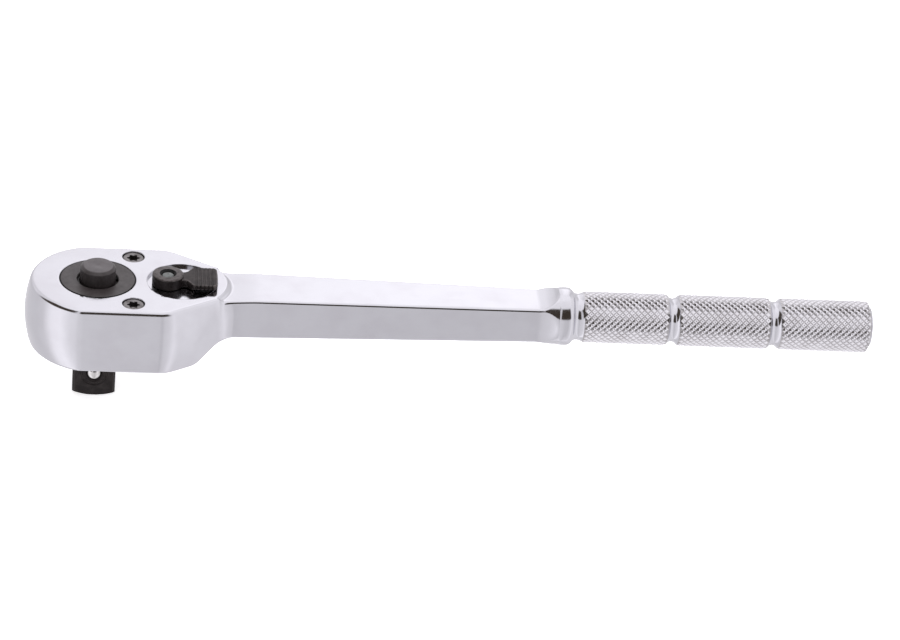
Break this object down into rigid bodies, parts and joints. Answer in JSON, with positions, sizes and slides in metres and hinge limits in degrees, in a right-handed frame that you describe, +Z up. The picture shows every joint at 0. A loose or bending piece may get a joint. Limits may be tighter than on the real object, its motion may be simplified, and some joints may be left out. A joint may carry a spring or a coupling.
{
  "type": "ratchet wrench",
  "caption": "Reversible half inch square-drive ratchet wrench with a chromed pear head, push-button socket release and round knurled steel grip.",
  "frame": {"origin": "on the drive axis, in the underside of the head where a socket seats", "axes": "+X along the handle towards its end, +Z up the drive axis out of the head's top face with the lever, +Y to the left of someone looking along the handle from the head"},
  "size_m": [0.254, 0.0412, 0.0415],
  "materials": {
    "chrome": "polished chrome plate on a steel forging",
    "black_steel": "satin black phosphated steel",
    "bare_steel": "ground and hardened bare steel",
    "spring_steel": "drawn spring steel",
    "bronze": "plain bearing bronze",
    "seal_rubber": "smooth black nitrile rubber"
  },
  "bodies": {
    "handle": {"head_and_handle": "chrome", "cover_plate": "chrome", "cover_screw_front": "black_steel", "cover_screw_back": "black_steel", "drive_thrust_washer": "bronze", "drive_wave_washer": "spring_steel"},
    "drive": {"drive_gear": "black_steel", "drive_o_ring": "seal_rubber", "button_retaining_ring": "black_steel", "release_spring": "spring_steel"},
    "button": {"release_button": "black_steel", "release_plunger": "bare_steel"},
    "ball": {"socket_ball": "bare_steel"},
    "lever": {"reverse_lever": "black_steel", "lever_spindle": "bare_steel", "spindle_o_ring": "seal_rubber", "spindle_circlip": "spring_steel", "selector_plunger": "bare_steel", "selector_spring": "spring_steel"},
    "pawl": {"pawl": "bare_steel"}
  },
  "joints": [
    {"name": "drive_spin", "type": "hinge", "parent": "handle", "child": "drive", "pos_m": [0, 0, 0], "axis": [0, 0, 1], "continuous": true},
    {"name": "button_press", "type": "slide", "parent": "drive", "child": "button", "axis": [0, 0, -1], "range_m": [0, 0.0035], "stiffness_N_per_m": 1200, "springref_m": -0.002, "deforming": ["release_spring"]},
    {"name": "ball_retract", "type": "slide", "parent": "drive", "child": "ball", "axis": [0, 1, 0], "range_m": [0, 0.0011]},
    {"name": "lever_turn", "type": "hinge", "parent": "handle", "child": "lever", "pos_m": [0.0206, 0, 0], "axis": [0, 0, 1], "range_deg": [-25, 25]},
    {"name": "pawl_rock", "type": "hinge", "parent": "handle", "child": "pawl", "pos_m": [0.0206, 0, 0], "axis": [0, 0, 1], "range_deg": [-6, 6]}
  ],
  "couplings": [
    {"joint": "ball_retract", "follows": "button_press", "ratio": 0.31428},
    {"joint": "pawl_rock", "follows": "lever_turn", "ratio": -0.24}
  ]
}
